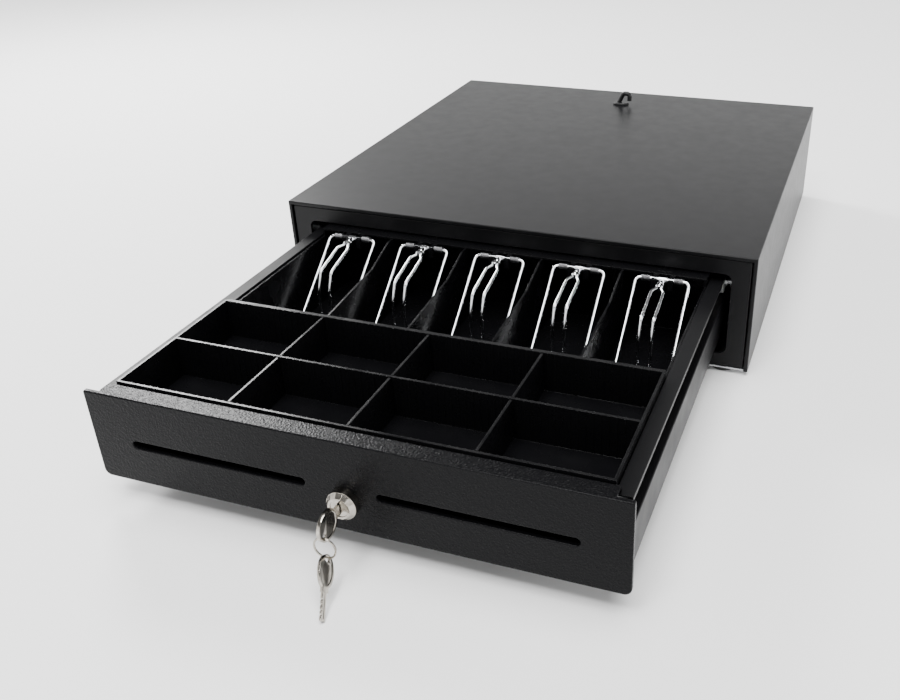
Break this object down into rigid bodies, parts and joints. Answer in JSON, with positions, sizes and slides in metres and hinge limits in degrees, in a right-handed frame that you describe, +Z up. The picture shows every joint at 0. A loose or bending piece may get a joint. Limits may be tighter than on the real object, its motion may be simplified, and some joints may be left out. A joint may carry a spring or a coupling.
{
  "type": "cash drawer",
  "caption": "Sheet steel cash drawer with a sliding roller-borne drawer, coin and bill till, spring bill clips, media slots, cam lock with keys and a solenoid latch.",
  "frame": {"origin": "centre of the whole object's bounding box with the drawer pulled out and the keys hanging, on the surface the feet stand on", "axes": "+Z up, the drawer opens towards -Y, +X is to the right for someone facing the drawer front"},
  "size_m": [0.41, 0.763, 0.1186],
  "materials": {
    "black_powder_coat": "satin powder coat",
    "zinc_plated_steel": "zinc plate",
    "rail_steel": "galvanised",
    "roller_plastic": "acetal",
    "rubber": "matte",
    "screw_steel": "black oxide",
    "black_plastic": "fine grain",
    "till_plastic": "gloss",
    "copper_coil": "enamelled winding",
    "chrome_wire": "polished",
    "sleeve_steel": "spring wire",
    "nickel": "nickel plate",
    "spring_steel": "bright wire"
  },
  "bodies": {
    "case": {"top_cover": "black_powder_coat", "base_pan": "zinc_plated_steel", "front_bezel": "black_powder_coat", "left_inner_wall": "zinc_plated_steel", "right_inner_wall": "zinc_plated_steel", "left_case_rail": "rail_steel", "right_case_rail": "rail_steel", "front_roller_axles": "rail_steel", "rubber_feet": "rubber", "feet_screws": "screw_steel", "cover_screws": "screw_steel", "cable_guide": "black_plastic", "cable_jack": "black_plastic", "latch_bracket": "zinc_plated_steel", "latch_pivot_pin": "zinc_plated_steel", "solenoid_frame": "zinc_plated_steel", "solenoid_coil": "copper_coil", "latch_spring": "spring_steel", "push_rod": "zinc_plated_steel", "push_spring": "spring_steel", "lock_keeper": "zinc_plated_steel"},
    "left_front_roller": {"left_front_roller": "roller_plastic"},
    "right_front_roller": {"right_front_roller": "roller_plastic"},
    "latch_lever": {"latch_lever": "zinc_plated_steel"},
    "solenoid_plunger": {"solenoid_plunger": "rail_steel"},
    "pusher": {"pusher": "black_plastic"},
    "drawer": {"drawer_pan": "black_powder_coat", "drawer_front": "black_powder_coat", "left_drawer_rail": "rail_steel", "right_drawer_rail": "rail_steel", "rear_roller_axles": "rail_steel", "till": "till_plastic", "deck_screws": "screw_steel", "latch_strike": "zinc_plated_steel", "lock_body": "nickel", "lock_nut": "zinc_plated_steel", "bill_clip_springs": "sleeve_steel"},
    "left_rear_roller": {"left_rear_roller": "roller_plastic"},
    "right_rear_roller": {"right_rear_roller": "roller_plastic"},
    "lock_plug": {"lock_plug": "nickel", "lock_cam": "zinc_plated_steel", "cam_nut": "zinc_plated_steel"},
    "key_1": {"key_1": "nickel"},
    "key_ring": {"key_ring": "nickel"},
    "key_2": {"key_2": "nickel"},
    "coin_tray": {"coin_tray": "till_plastic", "coin_dividers": "till_plastic"},
    "bill_clip_1": {"bill_clip_1_frame": "chrome_wire", "bill_clip_1_fork": "chrome_wire"},
    "bill_clip_2": {"bill_clip_2_frame": "chrome_wire", "bill_clip_2_fork": "chrome_wire"},
    "bill_clip_3": {"bill_clip_3_frame": "chrome_wire", "bill_clip_3_fork": "chrome_wire"},
    "bill_clip_4": {"bill_clip_4_frame": "chrome_wire", "bill_clip_4_fork": "chrome_wire"},
    "bill_clip_5": {"bill_clip_5_frame": "chrome_wire", "bill_clip_5_fork": "chrome_wire"}
  },
  "joints": [
    {"name": "drawer_slide", "type": "slide", "parent": "case", "child": "drawer", "axis": [0, -1, 0], "range_m": [-0.286, 0]},
    {"name": "left_front_roller_spin", "type": "hinge", "parent": "case", "child": "left_front_roller", "pos_m": [-0.1743, -0.00592, 0.0686], "axis": [1, 0, 0], "continuous": true},
    {"name": "right_front_roller_spin", "type": "hinge", "parent": "case", "child": "right_front_roller", "pos_m": [0.1743, -0.00592, 0.0686], "axis": [1, 0, 0], "continuous": true},
    {"name": "left_rear_roller_spin", "type": "hinge", "parent": "drawer", "child": "left_rear_roller", "pos_m": [-0.1879, 0.03508, 0.045], "axis": [1, 0, 0], "continuous": true},
    {"name": "right_rear_roller_spin", "type": "hinge", "parent": "drawer", "child": "right_rear_roller", "pos_m": [0.1879, 0.03508, 0.045], "axis": [1, 0, 0], "continuous": true},
    {"name": "pusher_slide", "type": "slide", "parent": "case", "child": "pusher", "axis": [0, 1, 0], "range_m": [0, 0.0301], "stiffness_N_per_m": 40, "deforming": ["push_spring"]},
    {"name": "latch_release", "type": "hinge", "parent": "case", "child": "latch_lever", "pos_m": [0, 0.37058, 0.044], "axis": [1, 0, 0], "range_deg": [0, 10.5], "stiffness_Nm_per_rad": 0.1, "springref_deg": -5.73},
    {"name": "plunger_pull", "type": "slide", "parent": "case", "child": "solenoid_plunger", "axis": [0, 0, -1], "range_m": [0, 0.0024], "deforming": ["latch_spring"]},
    {"name": "lock_turn", "type": "hinge", "parent": "drawer", "child": "lock_plug", "pos_m": [0.003, -0.32092, 0.042], "axis": [0, 1, 0], "range_deg": [0, 90]},
    {"name": "key_withdraw", "type": "slide", "parent": "lock_plug", "child": "key_1", "axis": [0, -1, 0], "range_m": [0, 0.026]},
    {"name": "key_ring_swing", "type": "hinge", "parent": "key_1", "child": "key_ring", "pos_m": [0.003, -0.34892, 0.0365], "axis": [-1, 0, 0], "range_deg": [0, 55]},
    {"name": "spare_key_swing", "type": "hinge", "parent": "key_ring", "child": "key_2", "pos_m": [0.00332, -0.34972, 0.02026], "axis": [-0.913, -0.1134, -0.392], "range_deg": [0, 40]},
    {"name": "coin_tray_lift", "type": "slide", "parent": "drawer", "child": "coin_tray", "axis": [0, 0, 1], "range_m": [0, 0.06]},
    {"name": "bill_clip_1_lift", "type": "hinge", "parent": "drawer", "child": "bill_clip_1", "pos_m": [-0.1352, -0.04892, 0.0834], "axis": [-1, 0, 0], "range_deg": [0, 80], "stiffness_Nm_per_rad": 0.02, "springref_deg": -34.38},
    {"name": "bill_clip_2_lift", "type": "hinge", "parent": "drawer", "child": "bill_clip_2", "pos_m": [-0.0676, -0.04892, 0.0834], "axis": [-1, 0, 0], "range_deg": [0, 80], "stiffness_Nm_per_rad": 0.02, "springref_deg": -34.38},
    {"name": "bill_clip_3_lift", "type": "hinge", "parent": "drawer", "child": "bill_clip_3", "pos_m": [0, -0.04892, 0.0834], "axis": [-1, 0, 0], "range_deg": [0, 80], "stiffness_Nm_per_rad": 0.02, "springref_deg": -34.38},
    {"name": "bill_clip_4_lift", "type": "hinge", "parent": "drawer", "child": "bill_clip_4", "pos_m": [0.0676, -0.04892, 0.0834], "axis": [-1, 0, 0], "range_deg": [0, 80], "stiffness_Nm_per_rad": 0.02, "springref_deg": -34.38},
    {"name": "bill_clip_5_lift", "type": "hinge", "parent": "drawer", "child": "bill_clip_5", "pos_m": [0.1352, -0.04892, 0.0834], "axis": [-1, 0, 0], "range_deg": [0, 80], "stiffness_Nm_per_rad": 0.02, "springref_deg": -34.38}
  ],
  "couplings": [
    {"joint": "left_front_roller_spin", "follows": "drawer_slide", "rad_per_m": 98.039},
    {"joint": "right_front_roller_spin", "follows": "drawer_slide", "rad_per_m": 98.039},
    {"joint": "left_rear_roller_spin", "follows": "drawer_slide", "rad_per_m": 114.94},
    {"joint": "right_rear_roller_spin", "follows": "drawer_slide", "rad_per_m": 114.94},
    {"joint": "pusher_slide", "follows": "drawer_slide", "ratio": -0.104},
    {"joint": "plunger_pull", "follows": "latch_release", "m_per_rad": 0.0125}
  ]
}
